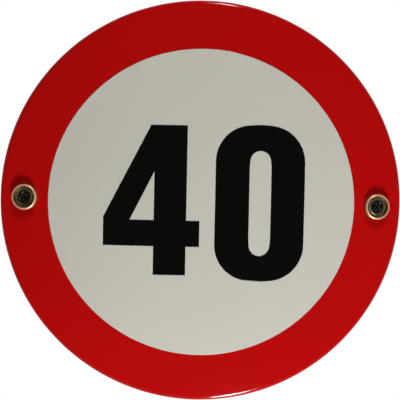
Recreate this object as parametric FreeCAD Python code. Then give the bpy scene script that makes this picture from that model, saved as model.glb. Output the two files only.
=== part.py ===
import FreeCAD, Part
import math
import os

# A small round speed limit sign: a pressed and enamelled steel plate held by two screws in brass screw cups.
# The front faces -Y and up is +Z. The origin is the centre of the disc on the wall, where the rim's back edge rests.
V = FreeCAD.Vector

# The pressed plate, in millimetres
SIGN_DIAMETER = 200.0
DOME_RADIUS = 450.0        # of the red face
RIM_RADIUS = 2.5           # where the face turns back to the wall
LIP_LENGTH = 3.0           # the straight edge behind the rounded rim
PLATE_THICKNESS = 1.2      # steel with its enamel
RIM_FLATS = 2              # across the rounded rim
HOLE_INSET = 13.0          # from the edge of the disc
HOLE_RADIUS = 3.0

# The coats baked on the red: the white field, and the black figures on that
COAT = 0.2
BORDER_WIDTH = 24.3        # of the red left round the white
PRINT_DROP = 0.4           # the field lies this much below the middle of the disc
PRINT_TURN = 0.5           # and the figures are turned by this many degrees, seen from the front

# The figure 4: edges from the middle of the printed field
FOUR_TOP = 37.75
FOUR_BOTTOM = -35.6
FOUR_STEM_LEFT = -23.5
FOUR_STEM_RIGHT = -7.65
FOUR_BAR_LEFT = -48.2
FOUR_BAR_RIGHT = -1.1
FOUR_BAR_TOP = -8.75
FOUR_BAR_BOTTOM = -21.45
FOUR_HEEL_TOP = -7.45      # where the slope meets the bar's left end
FOUR_SLOPE_TOP = -25.4     # how far left the slope starts on the top edge
FOUR_COUNTER_TOP = 15.0
FOUR_COUNTER_LEFT = -35.3

# The figure 0
ZERO_CENTRE_X = 28.35
ZERO_CENTRE_Z = 0.3
ZERO_WIDTH = 44.1
ZERO_HEIGHT = 76.8
ZERO_END = 18.1            # height of each round end, past the straight sides
ZERO_CROWN = 54.6          # radius over the top and under the foot
ZERO_COUNTER_WIDTH = 10.7
ZERO_COUNTER_HEIGHT = 51.6
ZERO_COUNTER_END = 9.0
ZERO_COUNTER_SHOULDER = 29.7   # radius where a side turns to the end

# The pressed brass screw cups
CUP_RADIUS = 6.3
CUP_HEIGHT = 3.0
CUP_SHEET = 0.45
CREST_WIDTH = 0.75         # from the outer wall in to the 45 degree seat for the head
SEAT_END = 0.5             # height of the seat's inner edge over the enamel

# The countersunk screws
HEAD_RADIUS = 4.1
HEAD_EDGE = 0.25
NECK_RADIUS = 1.45
THREAD_RADIUS = 2.0
THREAD_MARGIN = 0.7        # the thread starts this deep in the wall
SCREW_LENGTH = 30.0
RECESS_SPAN = 5.0
RECESS_WIDTH = 1.0
RECESS_DEPTH = 2.4
RECESS_FLOOR_SPAN = 1.6
RECESS_FLOOR_WIDTH = 0.7
LEFT_SCREW_TURN = 20.0
RIGHT_SCREW_TURN = 50.0

# What follows from those sizes
PLATE_RADIUS = SIGN_DIAMETER / 2
RIM_CENTRE_RADIUS = PLATE_RADIUS - RIM_RADIUS
DOME_CENTRE = V(0, math.sqrt((DOME_RADIUS - RIM_RADIUS) ** 2 - RIM_CENTRE_RADIUS ** 2) - LIP_LENGTH, 0)
FIELD_RADIUS = PLATE_RADIUS - BORDER_WIDTH
HOLE_SLOPE = math.asin((PLATE_RADIUS - HOLE_INSET) / DOME_RADIUS)
WALL_DEPTH = DOME_RADIUS - DOME_CENTRE.y / math.cos(HOLE_SLOPE)
SEAT_RADIUS = CUP_RADIUS - CREST_WIDTH
DIAGONAL = math.sqrt(0.5)
PRINT_CENTRE = V(0, 0, -PRINT_DROP)
FRONT = V(0, -1, 0)
SIDEWAYS = V(1, 0, 0)
UP = V(0, 0, 1)


def ball(radius):
    return Part.makeSphere(radius, DOME_CENTRE)


def dished_disc(radius, dome_radius):
    """A solid disc standing on the wall, with the dome for its front."""
    drum = Part.makeCylinder(radius, SIGN_DIAMETER, FRONT * SIGN_DIAMETER, -FRONT)
    return drum.common(ball(dome_radius))


def rim_waste():
    """The ring to take off a disc's front corner: narrow flats turn the dome over into the upright edge."""
    centre = V(RIM_CENTRE_RADIUS, -LIP_LENGTH, 0)
    roll = math.acos(RIM_CENTRE_RADIUS / (DOME_RADIUS - RIM_RADIUS))

    def out(angle):
        return V(math.cos(angle), -math.sin(angle), 0) * RIM_RADIUS

    flats = [centre + out(roll * step / RIM_FLATS) for step in range(RIM_FLATS + 1)]
    beyond = [centre + out(roll) * 2, centre + V(2, -2, 0) * RIM_RADIUS, centre + out(0) * 2]
    section = Part.Face(Part.makePolygon(flats + beyond + flats[:1]))
    return section.revolve(V(), FRONT, 360)


def on_dome(bar, coats_below):
    """The part of a bar standing on the wall that lies inside one coat of the dome."""
    back = DOME_RADIUS + coats_below * COAT
    return bar.common(ball(back + COAT)).cut(ball(back))


def fixing_place(side, turn):
    """Where a fixing stands: its foot on the red enamel and its axis square to the dome. Side is -1 or 1."""
    slope = side * HOLE_SLOPE
    outward = V(math.sin(slope), -math.cos(slope), 0)
    spin = FreeCAD.Rotation(UP, turn)
    lean = FreeCAD.Rotation(V(math.cos(slope), math.sin(slope), 0), UP, outward, "ZXY")
    return FreeCAD.Placement(DOME_CENTRE + outward * DOME_RADIUS, lean * spin)


def placed(shape, place):
    """The shape moved from its own upright axis to a fixing's place."""
    return shape.transformed(place.toMatrix(), copy=True)


def turned(corners):
    """A full turn of a closed section about the upright axis. Each corner is a radius and a height."""
    points = [V(radius, 0, height) for radius, height in corners]
    return Part.Face(Part.makePolygon(points + points[:1])).revolve(V(), UP, 360)


def screw_hole(side):
    """What a drill takes out of the plate, square to the dome."""
    depth = LIP_LENGTH + 2 * RIM_RADIUS
    drill = Part.makeCylinder(HOLE_RADIUS, 2 * depth, UP * -depth)
    return placed(drill, fixing_place(side, 0))


def sign_plate():
    """The enamelled steel plate: a shallow dome whose edge is turned back to rest on the wall."""
    outside = dished_disc(PLATE_RADIUS, DOME_RADIUS).cut(rim_waste())
    inside = dished_disc(PLATE_RADIUS - PLATE_THICKNESS, DOME_RADIUS - PLATE_THICKNESS)
    return outside.cut([inside, screw_hole(-1), screw_hole(1)])


def white_field():
    """The round white coat inside the red border."""
    disc = Part.makeCylinder(FIELD_RADIUS, SIGN_DIAMETER, PRINT_CENTRE, FRONT)
    return on_dome(disc, 0)


def polygon(corners):
    """A flat face upright in the XZ plane."""
    points = [V(x, 0, z) for x, z in corners]
    return Part.Face(Part.makePolygon(points + points[:1]))


def four():
    outline = polygon([
        (FOUR_SLOPE_TOP, FOUR_TOP), (FOUR_STEM_RIGHT, FOUR_TOP),
        (FOUR_STEM_RIGHT, FOUR_BAR_TOP), (FOUR_BAR_RIGHT, FOUR_BAR_TOP),
        (FOUR_BAR_RIGHT, FOUR_BAR_BOTTOM), (FOUR_STEM_RIGHT, FOUR_BAR_BOTTOM),
        (FOUR_STEM_RIGHT, FOUR_BOTTOM), (FOUR_STEM_LEFT, FOUR_BOTTOM),
        (FOUR_STEM_LEFT, FOUR_BAR_BOTTOM), (FOUR_BAR_LEFT, FOUR_BAR_BOTTOM),
        (FOUR_BAR_LEFT, FOUR_HEEL_TOP),
    ])
    counter = polygon([
        (FOUR_STEM_LEFT, FOUR_COUNTER_TOP),
        (FOUR_STEM_LEFT, FOUR_BAR_TOP),
        (FOUR_COUNTER_LEFT, FOUR_BAR_TOP),
    ])
    return outline.cut(counter)


def meeting_radius(radius, along, beside):
    """The radius of the second arc of a round end, smooth where it meets an arc of the first radius.

    The first arc starts square to an axis at the distance along, and the second to the other axis at beside.
    """
    return (along ** 2 + beside ** 2 - 2 * radius * along) / (2 * (beside - radius))


def oval(width, height, end, shoulder, crown):
    """An upright oval: straight sides, and each end a crown arc that runs smoothly into two shoulder arcs."""
    side_top = height / 2 - end
    shoulder_centre = V(width / 2 - shoulder, 0, side_top)
    crown_centre = V(0, 0, height / 2 - crown)
    outward = (shoulder_centre - crown_centre) / (crown - shoulder)

    top = V(0, 0, height / 2)
    side_end = V(width / 2, 0, side_top)
    meeting = shoulder_centre + outward * shoulder
    middle = shoulder_centre + (outward + SIDEWAYS).normalize() * shoulder

    def mirrored(point, across, up):
        return V(point.x * across, 0, point.z * up)

    edges = []
    for up in (1, -1):
        edges.append(Part.Arc(mirrored(meeting, 1, up), mirrored(top, 1, up), mirrored(meeting, -1, up)).toShape())
        for across in (1, -1):
            corners = [mirrored(point, across, up) for point in (side_end, middle, meeting)]
            edges.append(Part.Arc(*corners).toShape())
    for across in (1, -1):
        edges.append(Part.makeLine(mirrored(side_end, across, 1), mirrored(side_end, across, -1)))
    return Part.Face(Part.Wire(Part.__sortEdges__(edges)))


def zero():
    shoulder = meeting_radius(ZERO_CROWN, ZERO_END, ZERO_WIDTH / 2)
    outline = oval(ZERO_WIDTH, ZERO_HEIGHT, ZERO_END, shoulder, ZERO_CROWN)
    crown = meeting_radius(ZERO_COUNTER_SHOULDER, ZERO_COUNTER_WIDTH / 2, ZERO_COUNTER_END)
    counter = oval(ZERO_COUNTER_WIDTH, ZERO_COUNTER_HEIGHT, ZERO_COUNTER_END, ZERO_COUNTER_SHOULDER, crown)
    ring = outline.cut(counter)
    ring.translate(V(ZERO_CENTRE_X, 0, ZERO_CENTRE_Z))
    return ring


def numeral(figure):
    """The black coat inside a figure's outline."""
    bar = figure.extrude(FRONT * SIGN_DIAMETER)
    bar.rotate(V(), FRONT, PRINT_TURN)
    bar.translate(PRINT_CENTRE)
    return on_dome(bar, 1)


def seat_height(radius):
    """Height over the enamel of the cup's seat, a 45 degree cone, at a radius."""
    return CUP_HEIGHT - (SEAT_RADIUS - radius)


def screw_cup(side):
    """A ring pressed from brass sheet: a cone for the screw head, a narrow crest and an upright outer wall."""
    seat_foot = SEAT_RADIUS - (CUP_HEIGHT - SEAT_END)
    under_foot = seat_foot + CUP_SHEET * DIAGONAL
    wall_inside = CUP_RADIUS - CUP_SHEET
    ceiling = CUP_HEIGHT - CUP_SHEET
    under_crest = SEAT_RADIUS - CUP_SHEET + CUP_SHEET / DIAGONAL
    ring = turned([
        (seat_foot, SEAT_END), (SEAT_RADIUS, CUP_HEIGHT),
        (CUP_RADIUS, CUP_HEIGHT), (CUP_RADIUS, -CUP_SHEET),
        (wall_inside, -CUP_SHEET), (wall_inside, ceiling), (under_crest, ceiling),
        (under_foot, SEAT_END - CUP_SHEET * DIAGONAL),
    ])
    return placed(ring, fixing_place(side, 0)).cut(ball(DOME_RADIUS))


def recess(top):
    """The tapered cross pressed into a head."""
    arms = []
    for turn in (0, 90):
        arm = Part.makeWedge(
            -RECESS_FLOOR_SPAN / 2, 0, -RECESS_FLOOR_WIDTH / 2, -RECESS_WIDTH / 2, -RECESS_SPAN / 2,
            RECESS_FLOOR_SPAN / 2, RECESS_DEPTH, RECESS_FLOOR_WIDTH / 2, RECESS_WIDTH / 2, RECESS_SPAN / 2)
        arm.rotate(V(), SIDEWAYS, 90)
        arm.rotate(V(), UP, turn)
        arm.translate(UP * (top - RECESS_DEPTH))
        arms.append(arm)
    return arms[0].fuse(arms[1])


def screw(side, turn):
    """A countersunk wood screw: the head down in the cup, a plain neck through the plate, a thread in the wall."""
    seat = seat_height(HEAD_RADIUS)
    top = seat + HEAD_EDGE
    tip = top - SCREW_LENGTH
    thread = -WALL_DEPTH - THREAD_MARGIN
    body = turned([
        (0, top), (HEAD_RADIUS, top), (HEAD_RADIUS, seat),
        (NECK_RADIUS, seat_height(NECK_RADIUS)), (NECK_RADIUS, thread),
        (THREAD_RADIUS, thread), (THREAD_RADIUS, tip), (0, tip),
    ])
    return placed(body.cut(recess(top)), fixing_place(side, turn))


def main():
    parts = {
        "sign_plate": sign_plate(),
        "white_field": white_field(),
        "numeral_4": numeral(four()),
        "numeral_0": numeral(zero()),
        "left_screw_cup": screw_cup(-1),
        "right_screw_cup": screw_cup(1),
        "left_screw": screw(-1, LEFT_SCREW_TURN),
        "right_screw": screw(1, RIGHT_SCREW_TURN),
    }
    os.makedirs("parts", exist_ok=True)
    for node, shape in parts.items():
        shape = shape.removeSplitter()
        shape.exportStep("parts/" + node + ".step")


main()
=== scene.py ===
import math
import bmesh
import bpy
import mathutils
import numpy as np
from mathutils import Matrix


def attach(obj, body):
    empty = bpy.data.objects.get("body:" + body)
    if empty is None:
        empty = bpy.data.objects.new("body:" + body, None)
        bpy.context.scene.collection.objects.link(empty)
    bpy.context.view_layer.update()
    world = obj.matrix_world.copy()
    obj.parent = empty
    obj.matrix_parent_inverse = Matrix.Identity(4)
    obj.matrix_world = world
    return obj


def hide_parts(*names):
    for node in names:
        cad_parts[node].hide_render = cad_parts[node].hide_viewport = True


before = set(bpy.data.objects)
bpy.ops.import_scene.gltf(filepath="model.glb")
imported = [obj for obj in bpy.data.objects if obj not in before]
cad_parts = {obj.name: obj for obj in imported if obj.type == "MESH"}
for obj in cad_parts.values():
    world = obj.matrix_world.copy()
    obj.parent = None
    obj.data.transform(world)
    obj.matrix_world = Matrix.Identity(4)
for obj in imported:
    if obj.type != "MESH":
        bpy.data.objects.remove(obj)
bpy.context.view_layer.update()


# The plate: steel sheet 1.2 mm thick, pressed to a shallow dome, with its edge rolled back to stand on the wall.
# It is coated all over in dark ground enamel, and red enamel is fired over the front and round the rim.
# Two holes, left and right, are punched for the screws.
DOME_RADIUS = 450.0
SHEET = 1.2
PLATE_RADIUS = 100.0
ROLL_RADIUS = 2.5
LIP_LENGTH = 3.0
HOLE_INSET = 13.0
HOLE_RADIUS = 3.0
COLUMNS = 384
CELL = 1.42
HALF_BLOCK, REACH = 3, 7
ROLL_CENTRE = PLATE_RADIUS - ROLL_RADIUS
DOME_CENTRE = np.array([0.0, math.sqrt((DOME_RADIUS - ROLL_RADIUS) ** 2 - ROLL_CENTRE ** 2) - LIP_LENGTH, 0.0])
RIM_SLOPE = math.asin(ROLL_CENTRE / (DOME_RADIUS - ROLL_RADIUS))
HOLE_SLOPE = math.asin((PLATE_RADIUS - HOLE_INSET) / DOME_RADIUS)


def ring_faces(rows, columns):
    """The quads of a grid whose last column joins the first: each takes the two next columns of two next rows."""
    row, column = np.meshgrid(np.arange(rows - 1), np.arange(columns), indexing="ij")
    beside = (column + 1) % columns
    return np.stack([row, row + 1, row + 1, row], -1) * columns + np.stack([column, column, beside, beside], -1)


def piece(name, points, quads, sharp=35.0, **shares):
    """A closed mesh from points in millimetres: doubles are merged, faces turned outward, shading smooth up to an
    angle. Each share is a number for every point, kept as an attribute for the material."""
    mesh = bpy.data.meshes.new(name)
    mesh.from_pydata((points.reshape(-1, 3) * 0.001).tolist(), [], quads.reshape(-1, 4).tolist())
    for share, values in shares.items():
        mesh.attributes.new(share, "FLOAT", "POINT").data.foreach_set("value", np.ravel(values).astype(np.float32))
    shell = bmesh.new()
    shell.from_mesh(mesh)
    bmesh.ops.remove_doubles(shell, verts=shell.verts, dist=2e-7)
    bmesh.ops.recalc_face_normals(shell, faces=shell.faces)
    shell.to_mesh(mesh)
    shell.free()
    mesh.shade_smooth()
    mesh.set_sharp_from_angle(angle=math.radians(sharp))
    made = bpy.data.objects.new(name, mesh)
    bpy.context.scene.collection.objects.link(made)
    return made


def settle(made, material, node):
    """Gives a piece its material, hides the solid it stands for, and hangs it on the root body."""
    made.data.materials.append(material)
    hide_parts(node)
    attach(made, "root")


def arc(centre, radius, start, end, count):
    """Points on a circle: the centre plus the radius times the sine and minus the cosine of the angle."""
    turn = np.linspace(start, end, count)
    return np.array(centre) + radius * np.stack([np.sin(turn), -np.cos(turn)], -1)


def fixing_axes(side):
    """The dome's tangent away from the middle, the upright, and the outward normal where a screw stands."""
    slope = side * HOLE_SLOPE
    return np.array([[math.cos(slope), math.sin(slope), 0], [0, 0, 1], [math.sin(slope), -math.cos(slope), 0]])


def plate_section():
    """The sheet's closed section as radius and Y: the front of the dome, the roll, the lip's round edge, and the same
    way back inside. Gives it with the row of the hole's middle on the front."""
    near = HOLE_SLOPE + CELL / DOME_RADIUS * np.arange(-REACH - 1, REACH + 1)
    inward = np.linspace(0, near[0], 14)[:-1]
    slopes = np.r_[inward, near]
    middle = (0, DOME_CENTRE[1])
    roll, edge = (ROLL_CENTRE, -LIP_LENGTH), (PLATE_RADIUS - SHEET / 2, -SHEET / 2)
    front = np.array(middle) + DOME_RADIUS * np.stack([np.sin(slopes), -np.cos(slopes)], -1)
    back = np.array(middle) + (DOME_RADIUS - SHEET) * np.stack([np.sin(slopes), -np.cos(slopes)], -1)
    section = np.concatenate([
        front,
        arc(roll, ROLL_RADIUS, RIM_SLOPE, math.pi / 2, 14),
        arc(edge, SHEET / 2, math.pi / 2, 3 * math.pi / 2, 9),
        arc(roll, ROLL_RADIUS - SHEET, math.pi / 2, RIM_SLOPE, 8),
        back[::-1]])
    return section, len(inward) + REACH + 1


def draw_to_hole(points, row_at, columns_off, radius, side):
    """Draws the cells round a hole on one face of the dome to the hole's circle. A point's share of the move is 1 on
    the block's border and falls smoothly to 0 at the reach, measured as the greater of its rows and columns off."""
    away, up, out = fixing_axes(side)
    rows = np.arange(max(row_at - REACH, 0), min(row_at + REACH + 1, len(points)))
    far = np.maximum(np.abs(rows[:, None] - row_at), np.abs(columns_off)[None, :]) / HALF_BLOCK
    share = np.clip((REACH / HALF_BLOCK - far) / (REACH / HALF_BLOCK - 1), 0, 1)
    share = share * share * (3 - 2 * share)
    foot = DOME_CENTRE + out * radius
    away_by, up_by = (points[rows] - foot) @ away, (points[rows] - foot) @ up
    scale = 1 + share * (HOLE_RADIUS / np.maximum(np.hypot(away_by, up_by), 1e-9) - 1)
    drawn = foot + (away_by * scale)[..., None] * away + (up_by * scale)[..., None] * up - DOME_CENTRE
    drawn = DOME_CENTRE + radius * drawn / np.linalg.norm(drawn, axis=-1, keepdims=True)
    points[rows] = np.where((share > 0)[..., None], drawn, points[rows])


def block_border(row_at, columns_off):
    """The points round the left-out block, in order: along its first row, up one side and back the other way."""
    order = np.argsort(columns_off)
    middle = int(np.flatnonzero(columns_off[order] == 0)[0])
    span = order[middle - HALF_BLOCK:middle + HALF_BLOCK + 1]
    low, high = row_at - HALF_BLOCK, row_at + HALF_BLOCK
    return np.r_[
        low * COLUMNS + span[:-1], np.arange(low, high) * COLUMNS + span[-1],
        high * COLUMNS + span[:0:-1], np.arange(high, low, -1) * COLUMNS + span[0]]


def plate_mesh():
    """The section turned about the Y axis, with a block of cells left out of both faces at each hole and a wall
    between the two borders. The red covers the front, the roll and the outside of the lip."""
    section, hole_row = plate_section()
    turn = np.arange(COLUMNS) * 2 * math.pi / COLUMNS
    points = np.stack([
        section[:, :1] * np.cos(turn), np.repeat(section[:, 1:], COLUMNS, 1), section[:, :1] * np.sin(turn)], -1)
    quads = ring_faces(len(section), COLUMNS)
    keep = np.ones(quads.shape[:2], bool)
    walls = []
    for side in (1, -1):
        hole_column = 0 if side > 0 else COLUMNS // 2
        columns_off = (np.arange(COLUMNS) - hole_column + COLUMNS // 2) % COLUMNS - COLUMNS // 2
        borders = []
        for radius, row_at in ((DOME_RADIUS, hole_row), (DOME_RADIUS - SHEET, len(section) - 1 - hole_row)):
            draw_to_hole(points, row_at, columns_off, radius, side)
            block = np.flatnonzero((columns_off >= -HALF_BLOCK) & (columns_off < HALF_BLOCK))
            keep[np.ix_(np.arange(row_at - HALF_BLOCK, row_at + HALF_BLOCK), block)] = False
            borders.append(block_border(row_at, columns_off))
        front, back = borders
        flat = points.reshape(-1, 3)
        back = back[np.linalg.norm(flat[back][None] - flat[front][:, None], axis=-1).argmin(1)]
        walls.append(np.stack([front, back, np.roll(back, -1), np.roll(front, -1)], -1))
    fired = np.arange(len(section)) < hole_row + REACH + 14 + 4
    return points, np.concatenate([quads[keep]] + walls), np.repeat(fired[:, None], COLUMNS, 1)


class Signal:
    """A socket of a material's tree. Sums, differences and products of signals and numbers add Math nodes."""

    def __init__(self, tree, socket=None):
        self.tree, self.socket = tree, socket

    def node(self, kind, settings, sockets, output=0):
        """A node with its settings made first, then the values or links of its sockets. Gives one of its outputs."""
        made = self.tree.nodes.new(kind)
        for setting, value in settings.items():
            setattr(made, setting, value)
        for socket, value in sockets.items():
            if isinstance(value, Signal):
                self.tree.links.new(value.socket, made.inputs[socket])
            else:
                made.inputs[socket].default_value = value
        return Signal(self.tree, made.outputs[output])

    def math(self, operation, first, second):
        return self.node("ShaderNodeMath", {"operation": operation}, {0: first, 1: second})

    def __add__(self, other):
        return self.math("ADD", self, other)

    def __radd__(self, other):
        return self.math("ADD", other, self)

    def __sub__(self, other):
        return self.math("SUBTRACT", self, other)

    def __rsub__(self, other):
        return self.math("SUBTRACT", other, self)

    def __mul__(self, other):
        return self.math("MULTIPLY", self, other)

    def __rmul__(self, other):
        return self.math("MULTIPLY", other, self)

    def ramp(self, low, high, out_low=0.0, out_high=1.0):
        """This signal's range from low to high spread over another range, and held at its ends."""
        return self.node("ShaderNodeMapRange", {}, {0: self, 1: low, 2: high, 3: out_low, 4: out_high})

    def colour_mix(self, first, second):
        """The first colour where this signal is 0, and the second where it is 1."""
        return self.node("ShaderNodeMix", {"data_type": "RGBA"}, {0: self, 6: first, 7: second}, 2)

    def noise(self, scale, detail=2.0):
        """Soft cloudy noise from 0 to 1, with about this many spots to a metre."""
        return self.node("ShaderNodeTexNoise", {}, {"Vector": self, "Scale": scale, "Detail": detail})

    def bump(self, height):
        """A normal from a height in metres."""
        return self.node("ShaderNodeBump", {}, {"Strength": 1.0, "Distance": 1.0, "Height": height})

    def share(self, name):
        """A number that the piece's mesh holds for each of its points."""
        return self.node("ShaderNodeAttribute", {"attribute_name": name}, {}, 2)


def seen(red, green, blue):
    """A colour as a screen shows it, 0 to 255, made linear."""
    part = np.array([red, green, blue]) / 255
    linear = np.where(part <= 0.04045, part / 12.92, ((part + 0.055) / 1.055) ** 2.4)
    return (*linear.tolist(), 1.0)


def shader(name, constants):
    """A new material with these constants on its shader. Gives the material, its shader, and object coordinates."""
    material = bpy.data.materials.new(name)
    material.use_nodes = True
    made = material.node_tree.nodes["Principled BSDF"]
    for socket, value in constants.items():
        made.inputs[socket].default_value = value
    place = Signal(material.node_tree).node("ShaderNodeTexCoord", {}, {}, 3)
    return material, made, place


def feed(made, sockets):
    """Links signals to sockets of a shader."""
    for socket, signal in sockets.items():
        signal.tree.links.new(signal.socket, made.inputs[socket])


def enamel(place, red, green, blue):
    """Fired glass: its tone drifts a little over centimetres, its gloss over millimetres, and it has a faint
    orange peel, a few microns high. Gives the colour, the roughness and the normal."""
    tone = np.array(seen(red, green, blue)[:3])
    drift, cloud, peel = place.noise(22.0), place.noise(260.0, 3.0), place.noise(420.0, 1.0)
    mixed = (0.7 * drift + 0.3 * cloud).colour_mix((*(0.96 * tone).tolist(), 1.0), (*(1.04 * tone).tolist(), 1.0))
    return mixed, 0.05 + 0.04 * cloud, place.bump(0.000006 * peel)


red_enamel, red_shader, place = shader("red_enamel", {"IOR": 1.34})
red, gloss, skin = enamel(place, 171, 10, 9)
fired = place.share("fired")
ground = place.noise(1500.0).colour_mix(seen(20, 22, 26), seen(44, 47, 52))
feed(red_shader, {
    "Base Color": fired.colour_mix(ground, red),
    "Roughness": gloss + 0.2 * (1 - fired),
    "Normal": skin,
})

plate_points, plate_faces, plate_fired = plate_mesh()
plate = piece("pressed_plate", plate_points, plate_faces, fired=plate_fired)
settle(plate, red_enamel, "sign_plate")


# The white field: a round coat of grey-white enamel, screened on inside the red border and fired.
# Its surface is drawn round at the edge as it melts.
COAT = 0.2
COAT_EDGE = 0.22
FIELD_RADIUS = 75.7
PRINT_DROP = 0.4
FIELD_COLUMNS = 360
EDGE_ROWS = np.array([0.0, 0.012, 0.04, 0.09, 0.15, 0.22, 0.34])


def coat(flat, edge_distance, layer, quads):
    """Both sheets of a coat laid on the dome. The top stands a full coat over the surface below, and within the
    edge's width it falls to it as a quarter of an ellipse. Points are given across and up from the print's middle."""
    inside = np.clip(edge_distance / COAT_EDGE, 0, 1)
    height = COAT * np.sqrt(np.clip(1 - (1 - inside) ** 2, 0, 1))
    across, up = flat[..., 0], flat[..., 1] - PRINT_DROP

    def laid(radius):
        return np.stack([across, DOME_CENTRE[1] - np.sqrt(radius ** 2 - across ** 2 - up ** 2), up], -1).reshape(-1, 3)

    below = DOME_RADIUS + layer * COAT
    top, underside, quads = laid(below + height), laid(below), quads.reshape(-1, 4)
    return np.concatenate([top, underside]), np.concatenate([quads, quads[:, ::-1] + len(top)])


radii = np.r_[np.linspace(0, FIELD_RADIUS - 1, 20), FIELD_RADIUS - EDGE_ROWS[::-1]]
turn = np.arange(FIELD_COLUMNS) * 2 * math.pi / FIELD_COLUMNS
flat = radii[:, None, None] * np.stack([np.cos(turn), np.sin(turn)], -1)
to_edge = np.repeat(FIELD_RADIUS - radii[:, None], FIELD_COLUMNS, 1)
field = piece("enamel_field", *coat(flat, to_edge, 0, ring_faces(len(radii), FIELD_COLUMNS)), sharp=80.0)

white_enamel, white_shader, place = shader("white_enamel", {"IOR": 1.34})
white, gloss, skin = enamel(place, 190, 188, 177)
feed(white_shader, {"Base Color": white, "Roughness": gloss, "Normal": skin})
settle(field, white_enamel, "white_field")


# The figures 4 and 0: black enamel screened over the white through a stencil, and fired like it.
# The stencil lay half a degree anticlockwise on the plate.
PRINT_TURN = math.radians(0.5)
FOUR = {
    "a": (-25.4, 37.75), "b": (-7.65, 37.75), "c": (-7.65, -8.75), "d": (-1.1, -8.75), "e": (-1.1, -21.45),
    "f": (-7.65, -21.45), "g": (-7.65, -35.6), "h": (-23.5, -35.6), "i": (-23.5, -21.45), "j": (-48.2, -21.45),
    "k": (-48.2, -7.45), "m": (-7.65, 15.0), "p": (-23.5, 15.0), "q": (-23.5, -8.75), "r": (-35.3, -8.75),
    "s": (-35.3, -21.45),
}
FOUR_PATCHES = ("qcmp", "pmba", "rpak", "jsrk", "siqr", "ifcq", "fedc", "hgfi")
FOUR_OUTLINES = ("abcdefghijk", "pqr")
ZERO_CENTRE = (28.35, 0.3)
ZERO_WIDTH, ZERO_HEIGHT, ZERO_END, ZERO_CROWN = 44.1, 76.8, 18.1, 54.6
COUNTER_WIDTH, COUNTER_HEIGHT, COUNTER_END, COUNTER_SHOULDER = 10.7, 51.6, 9.0, 29.7
ARC_POINTS = 24


def turned_print(flat):
    """Points of the print turned anticlockwise as the stencil was, seen from the front."""
    cosine, sine = math.cos(PRINT_TURN), math.sin(PRINT_TURN)
    return flat @ np.array([[cosine, sine], [-sine, cosine]])


def across_width(width):
    """Places across a width: close rows by both edges, where the coat falls away, and nine even ones between."""
    return np.r_[EDGE_ROWS, np.linspace(1.0, width - 1.0, 9), width - EDGE_ROWS[::-1]] / width


def side_points(start, end):
    """The points along a straight side of a patch, and the share of the side at each."""
    start, end = np.array(FOUR[start]), np.array(FOUR[end])
    shares = across_width(np.linalg.norm(end - start))
    return start + shares[:, None] * (end - start), shares


def patch(corners):
    """A four-sided patch: the blend between two opposite sides, plus the blend between the other two, less the blend
    of the four corners. So its border is its sides' own points, which it shares with its neighbours."""
    first, second, third, fourth = corners
    (low, low_shares), (high, high_shares) = side_points(first, second), side_points(fourth, third)
    (left, left_shares), (right, right_shares) = side_points(first, fourth), side_points(second, third)
    across = ((low_shares + high_shares) / 2)[None, :, None]
    up = ((left_shares + right_shares) / 2)[:, None, None]
    of_corners = (1 - up) * ((1 - across) * low[0] + across * low[-1]) + up * (
        (1 - across) * high[0] + across * high[-1])
    return (1 - up) * low + up * high + (1 - across) * left[:, None] + across * right[:, None] - of_corners


def outline_distance(flat, loops):
    """Each point's distance to the nearest straight side of some closed outlines."""
    corners = [np.array([FOUR[corner] for corner in loop]) for loop in loops]
    starts = np.concatenate(corners)
    along = np.concatenate([np.roll(loop, -1, 0) for loop in corners]) - starts
    share = np.einsum("...sk,sk->...s", flat[..., None, :] - starts, along) / (along ** 2).sum(-1)
    nearest = starts + np.clip(share, 0, 1)[..., None] * along
    return np.linalg.norm(flat[..., None, :] - nearest, axis=-1).min(-1)


def patch_faces(patches, side):
    """The quads of some square grids of this many points a side, one after another."""
    row, column = np.meshgrid(np.arange(side - 1), np.arange(side - 1), indexing="ij")
    corners = np.stack([row, row, row + 1, row + 1], -1) * side + np.stack([column, column + 1, column + 1, column], -1)
    return corners.reshape(1, -1, 4) + (np.arange(patches) * side * side)[:, None, None]


def meeting_radius(radius, along, beside):
    """The radius of the second arc of a round end, smooth where it meets an arc of the first radius. The first starts
    square to an axis at the distance along, and the second to the other axis at beside."""
    return (along ** 2 + beside ** 2 - 2 * radius * along) / (2 * (beside - radius))


def oval(width, height, end, shoulder, crown):
    """An upright oval as a loop of points: straight sides, shoulder arcs that start square to them, and crown arcs
    that run smoothly into the shoulders, evenly spaced along each."""
    side_top = height / 2 - end
    hub, middle = np.array([width / 2 - shoulder, side_top]), np.array([0, height / 2 - crown])
    meeting = math.atan2(*((hub - middle) / (crown - shoulder))[::-1])
    low = np.linspace(0, meeting, ARC_POINTS)[:-1]
    high = np.linspace(meeting, math.pi / 2, ARC_POINTS)
    upright = np.stack([np.full(ARC_POINTS, width / 2), np.linspace(0, side_top, ARC_POINTS)], -1)[:-1]
    quarter = np.concatenate([
        upright,
        hub + shoulder * np.stack([np.cos(low), np.sin(low)], -1),
        middle + crown * np.stack([np.cos(high), np.sin(high)], -1)])
    half = np.concatenate([quarter, (quarter * (-1, 1))[-2::-1]])
    return np.concatenate([half, (half * (1, -1))[-2:0:-1]])


four_flat = np.stack([patch(corners) for corners in FOUR_PATCHES])
four_quads = patch_faces(len(four_flat), four_flat.shape[1])
four_edge = outline_distance(four_flat, FOUR_OUTLINES)
figure_four = piece("enamel_4", *coat(turned_print(four_flat), four_edge, 1, four_quads), sharp=80.0)

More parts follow.
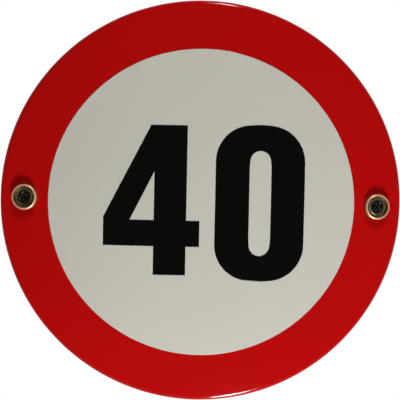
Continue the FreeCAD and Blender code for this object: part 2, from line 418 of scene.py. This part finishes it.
outer = oval(ZERO_WIDTH, ZERO_HEIGHT, ZERO_END, meeting_radius(ZERO_CROWN, ZERO_END, ZERO_WIDTH / 2), ZERO_CROWN)
inner = oval(
    COUNTER_WIDTH, COUNTER_HEIGHT, COUNTER_END, COUNTER_SHOULDER,
    meeting_radius(COUNTER_SHOULDER, COUNTER_WIDTH / 2, COUNTER_END))
width = np.linalg.norm(outer - inner, axis=-1)
across = across_width(width.min())[:, None]
blend = np.where(across < 0.5, across * width.min() / width, 1 - (1 - across) * width.min() / width)
zero_flat = inner + blend[..., None] * (outer - inner)
zero_quads = ring_faces(len(across), len(outer))
zero_edge = np.minimum(blend, 1 - blend) * width
figure_zero = piece("enamel_0", *coat(turned_print(zero_flat + ZERO_CENTRE), zero_edge, 1, zero_quads), sharp=80.0)

black_enamel, black_shader, place = shader("black_enamel", {"IOR": 1.34})
black, gloss, skin = enamel(place, 10, 10, 8)
feed(black_shader, {"Base Color": black, "Roughness": gloss, "Normal": skin})
settle(figure_four, black_enamel, "numeral_4")
settle(figure_zero, black_enamel, "numeral_0")


# The screw cups: rings pressed from thin brass sheet, with a cone for the screw's head and a rolled crest.
# They are dull and olive in the hollow and down the outside, where no cloth reaches, and bright on the crest.
CUP_RADIUS = 6.3
CUP_HEIGHT = 3.0
CUP_SHEET = 0.45
CREST_RADIUS = 0.7
SEAT_END = (3.05, 0.5)
HEAD_SEAT = (4.1, 1.55)
CUP_COLUMNS = 128


def at_fixing(points, side):
    """Points about an upright axis moved to a fixing, with their heights along the dome's normal."""
    return DOME_CENTRE + fixing_axes(side)[2] * DOME_RADIUS + points @ fixing_axes(side)


def cup_section():
    """The cup's closed section as radius and height: up the cone to the head's seat, on along the tangent to the
    crest's circle, over it, down the outer wall, and back inside at the sheet's thickness. A round edge ends the
    cone. Gives it with each point's tarnish, which leaves out the crest from its top outward."""
    hub = np.array([CUP_RADIUS - CREST_RADIUS, CUP_HEIGHT - CREST_RADIUS])
    seat, foot = np.array(HEAD_SEAT), np.array(SEAT_END)
    reach = np.hypot(*(hub - seat))
    tangent = math.atan2(*(hub - seat)[::-1]) + math.asin(CREST_RADIUS / reach)
    over = np.linspace(tangent + math.pi / 2, 0, 25)[:, None]
    circle = np.concatenate([np.cos(over), np.sin(over)], 1)
    outside, inside = hub + CREST_RADIUS * circle, hub + (CREST_RADIUS - CUP_SHEET) * circle[::-1]
    ground = -CUP_RADIUS ** 2 / (2 * DOME_RADIUS)
    down = CUP_SHEET * math.sqrt(0.5) * np.array([1, -1])
    climb = np.linspace(0, 1, 7)[:-1, None]
    lip = np.radians(np.linspace(0, 180, 9)[1:-1])[:, None]
    toe = foot + down / 2 + down / 2 * np.cos(lip) + np.array([-1, -1]) * CUP_SHEET / 2 * math.sqrt(0.5) * np.sin(lip)
    under_seat = seat + down
    section = np.concatenate([
        foot + climb * (seat - foot), seat + climb * (outside[0] - seat), outside,
        [[CUP_RADIUS, ground], [CUP_RADIUS - CUP_SHEET, ground]],
        inside, inside[-1] + climb[1:] * (under_seat - inside[-1]),
        under_seat + climb * (foot + down - under_seat), [foot + down], toe])
    tarnish = np.ones(len(section))
    first = 2 * len(climb)
    tarnish[first:first + len(outside)] = np.clip((np.abs(np.degrees(over[:, 0]) - 53) - 45) / 14, 0, 1)
    return section, tarnish


section, tarnish = cup_section()
turn = np.arange(CUP_COLUMNS) * 2 * math.pi / CUP_COLUMNS
around, height = section[:, :1], np.repeat(section[:, 1:], CUP_COLUMNS, 1)
ring = np.stack([around * np.cos(turn), around * np.sin(turn), height], -1)
ring = np.concatenate([ring, ring[:1]])
ring_tarnish = np.repeat(np.r_[tarnish, tarnish[0]][:, None], CUP_COLUMNS, 1)

brass, brass_shader, place = shader("brass", {"Metallic": 0.58})
stain, cloud, fine = place.share("tarnish"), place.noise(700.0, 4.0), place.noise(6000.0)
old = stain * cloud.ramp(0.3, 0.62, 0.94, 1.0)
feed(brass_shader, {
    "Base Color": old.colour_mix(seen(255, 206, 160), seen(72, 55, 18)),
    "Roughness": 0.30 + 0.20 * stain + 0.08 * fine,
    "Normal": place.bump(0.000004 * fine + 0.00001 * cloud),
})
for name, side in (("left", -1), ("right", 1)):
    cup = piece(
        name + "_cup", at_fixing(ring, side), ring_faces(len(ring), CUP_COLUMNS), sharp=50.0, tarnish=ring_tarnish)
    settle(cup, brass, name + "_screw_cup")


# The screws: darkened steel wood screws with countersunk cross-recess heads, driven through the plate into the wall.
# The driver and the cups have rubbed the edges of the heads and of the crosses lighter.
HEAD_RADIUS = 4.1
HEAD_TOP = 1.8
NECK_RADIUS = 1.45
THREAD_RADIUS = 2.0
CORE_RADIUS = 1.35
THREAD_START = -8.61
SCREW_TIP = -28.2
POINT_LENGTH = 4.0
PITCH = 1.8
CROSS_MOUTH = (2.5, 0.5)
CROSS_FLOOR = (0.8, 0.35)
SCREW_COLUMNS = 192
HEAD_ROWS = np.array([
    # Shares of the cross's floor and of its mouth, a plain radius to add, depth below the head's top, and rubbing
    (0.00, 0.00, 0.00, 2.40, 0.0), (0.50, 0.00, 0.00, 2.40, 0.0), (1.00, 0.00, 0.00, 2.35, 0.0),
    (0.75, 0.25, 0.00, 1.75, 0.0), (0.50, 0.50, 0.00, 1.20, 0.0), (0.25, 0.75, 0.00, 0.62, 0.0),
    (0.00, 1.00, 0.00, 0.12, 0.2), (0.00, 1.00, 0.05, 0.05, 0.8), (0.00, 0.99, 0.12, 0.01, 0.8),
    (0.00, 0.97, 0.22, 0.00, 0.0), (0.00, 0.60, 1.50, 0.00, 0.0), (0.00, 0.30, 2.60, 0.00, 0.0),
    (0.00, 0.00, 3.60, 0.00, 0.2), (0.00, 0.00, 3.76, 0.01, 0.9), (0.00, 0.00, 3.89, 0.04, 1.0),
    (0.00, 0.00, 3.99, 0.09, 1.0), (0.00, 0.00, 4.06, 0.16, 1.0), (0.00, 0.00, 4.10, 0.25, 0.9),
    (0.00, 0.00, 3.80, 0.55, 0.0), (0.00, 0.00, 1.85, 2.50, 0.0), (0.00, 0.00, 1.45, 2.95, 0.0),
    (0.00, 0.00, 1.45, 9.70, 0.0),
])


def cross_reach(turn, reach, half_width):
    """How far a cross goes from its middle in each direction: the farther of two round-cornered bars."""
    def bar(along, beside):
        return ((np.abs(along) / reach) ** 8 + (np.abs(beside) / half_width) ** 8) ** -0.125
    return np.maximum(bar(np.cos(turn), np.sin(turn)), bar(np.sin(turn), np.cos(turn)))


def screw_grid(driven):
    """The screw as rows of rings: up out of the cross, over the head, down its cone and neck, and along a thread whose
    ridge climbs one pitch a turn and tapers to the point. The rows of the cross follow its outline."""
    turn = np.arange(SCREW_COLUMNS) * 2 * math.pi / SCREW_COLUMNS
    floor_share, mouth_share, plain, depth, rub = (HEAD_ROWS[:, index:index + 1] for index in range(5))
    head = floor_share * cross_reach(turn, *CROSS_FLOOR) + mouth_share * cross_reach(turn, *CROSS_MOUTH) + plain
    heights = np.linspace(THREAD_START + 0.5, SCREW_TIP, 150)[:, None]
    phase = (heights / PITCH + turn / (2 * math.pi)) % 1
    ridge = np.clip(1 - np.abs(2 * phase - 1) / 0.4, 0, 1)
    run_in = np.clip((THREAD_START + 0.2 - heights) / 1.6, 0, 1)
    core = NECK_RADIUS + (CORE_RADIUS - NECK_RADIUS) * run_in
    taper = np.clip((heights - SCREW_TIP) / POINT_LENGTH, 0, 1)
    thread = taper * (core + (THREAD_RADIUS - CORE_RADIUS) * ridge * run_in)
    radius = np.concatenate([head, thread])
    height = np.repeat(np.concatenate([HEAD_TOP - depth, heights]), SCREW_COLUMNS, 1)
    rubbed = np.concatenate([np.repeat(rub, SCREW_COLUMNS, 1), 0.4 * ridge * run_in])
    around = turn + math.radians(driven)
    return np.stack([radius * np.cos(around), radius * np.sin(around), height], -1), rubbed


dark_steel, steel_shader, place = shader("dark_steel", {"Metallic": 0.85})
oxide, grain = place.noise(1400.0, 4.0), place.noise(9000.0)
bare = place.share("rubbed") * oxide.ramp(0.3, 0.6, 0.35, 1.0)
feed(steel_shader, {
    "Base Color": bare.colour_mix(seen(44, 37, 29), seen(244, 236, 212)),
    "Roughness": 0.38 - 0.16 * bare + 0.12 * grain,
    "Normal": place.bump(0.000005 * grain + 0.00001 * oxide),
})
for name, side, driven in (("left", -1, 20), ("right", 1, 50)):
    points, rubbed = screw_grid(driven)
    screw = piece(
        name + "_wood_screw", at_fixing(points, side), ring_faces(len(points), SCREW_COLUMNS), sharp=38.0,
        rubbed=rubbed)
    settle(screw, dark_steel, name + "_screw")


# The studio: a pale floor well below, a lamp below the sign, and above it a small one with a faint glow beside it and
# a fill that isn't mirrored, all a little to the right. The room is dark behind the camera and dim at the sides and
# behind the sign, where it is white for the camera, and for gloss that looks that way.
LAMP_DISTANCE = 0.9


def lamp(name, lean, aside, width, depth, power, mirrored=True):
    """A flat lamp that faces the middle of the sign. It stands up from straight ahead by its lean in degrees, or down
    where that is negative, and to the right by an angle seen from the front. One that isn't mirrored only fills."""
    made = bpy.data.lights.new(name, "AREA")
    made.shape, made.size, made.size_y, made.energy = "RECTANGLE", width, depth, power
    holder = bpy.data.objects.new(name, made)
    bpy.context.scene.collection.objects.link(holder)
    lean, aside = math.radians(lean), math.radians(aside)
    away = mathutils.Vector((abs(math.sin(lean)) * math.sin(aside), -math.cos(lean), math.sin(lean) * math.cos(aside)))
    holder.location = LAMP_DISTANCE * away
    holder.rotation_euler = (-away).to_track_quat("-Z", "Y").to_euler()
    holder.visible_glossy = mirrored


lamp("upper_lamp", 58.0, 8.3, 0.042, 0.26, 2.1)
lamp("upper_glow", 58.0, 4.9, 0.065, 0.26, 0.4)
lamp("upper_fill", 58.0, 5.9, 0.20, 0.26, 2.7, mirrored=False)
lamp("lower_lamp", -55.0, 11.4, 0.10, 0.24, 8.6)

world = bpy.data.worlds.new("studio")
bpy.context.scene.world = world
world.use_nodes = True
sky = world.node_tree
sky.nodes.clear()
room = Signal(sky)
light_path = sky.nodes.new("ShaderNodeLightPath")
camera_ray, glossy_ray, through_ray = (
    Signal(sky, light_path.outputs[output]) for output in ("Is Camera Ray", "Is Glossy Ray", "Is Transmission Ray"))
direction = room.node("ShaderNodeTexCoord", {}, {}, 0)
backward = room.node("ShaderNodeSeparateXYZ", {}, {0: direction}, 1)
walls, behind = backward.ramp(-0.5, 0.2, 0.025, 0.42), backward.ramp(0.0, 0.9)
shown = room.math("MAXIMUM", camera_ray, behind * room.math("MAXIMUM", glossy_ray, through_ray))
strength = room.math("MAXIMUM", walls, shown)
glow = room.node("ShaderNodeBackground", {}, {"Color": (1.0, 1.0, 1.0, 1.0), "Strength": strength})
sky.links.new(glow.socket, sky.nodes.new("ShaderNodeOutputWorld").inputs["Surface"])

bpy.ops.mesh.primitive_plane_add(size=2.2, location=(0.0, 0.0, -1.2))
floor = bpy.context.object
floor.name = "floor"
pale, pale_shader, place = shader("pale_floor", {"Roughness": 0.8})
paper = place.noise(6.0).colour_mix(seen(236, 235, 233), seen(242, 241, 239))
feed(pale_shader, {"Base Color": paper})
even = place.node("ShaderNodeEmission", {}, {"Color": paper, "Strength": 1.0})
by_camera = place.node("ShaderNodeLightPath", {}, {})
lit = Signal(place.tree, pale_shader.outputs[0])
shown_floor = place.node("ShaderNodeMixShader", {}, {0: 0.85 * by_camera, 1: lit, 2: even})
place.tree.links.new(shown_floor.socket, place.tree.nodes["Material Output"].inputs["Surface"])
floor.data.materials.append(pale)


# The camera stands half a metre off, a little left and above, as the photograph was taken.
LEFT, ABOVE, ROLL = (math.radians(angle) for angle in (1.8, 2.0, 1.7))
camera_data = bpy.data.cameras.new("camera")
camera = bpy.data.objects.new("camera", camera_data)
bpy.context.scene.collection.objects.link(camera)
bpy.context.scene.camera = camera
camera_data.sensor_width = 36.0
camera_data.lens = 998 / 400 * 36.0
camera_data.shift_x = -1.30 / 400
camera_data.shift_y = 1.44 / 400
aim = mathutils.Vector((0.0, -0.003, 0.0))
off = mathutils.Vector((-math.sin(LEFT) * math.cos(ABOVE), -math.cos(LEFT) * math.cos(ABOVE), math.sin(ABOVE)))
camera.location = aim + 0.5 * off
camera.rotation_euler = ((-off).to_track_quat("-Z", "Y").to_matrix() @ mathutils.Matrix.Rotation(ROLL, 3, "Z")).to_euler()

bpy.context.scene.view_settings.view_transform = "Standard"
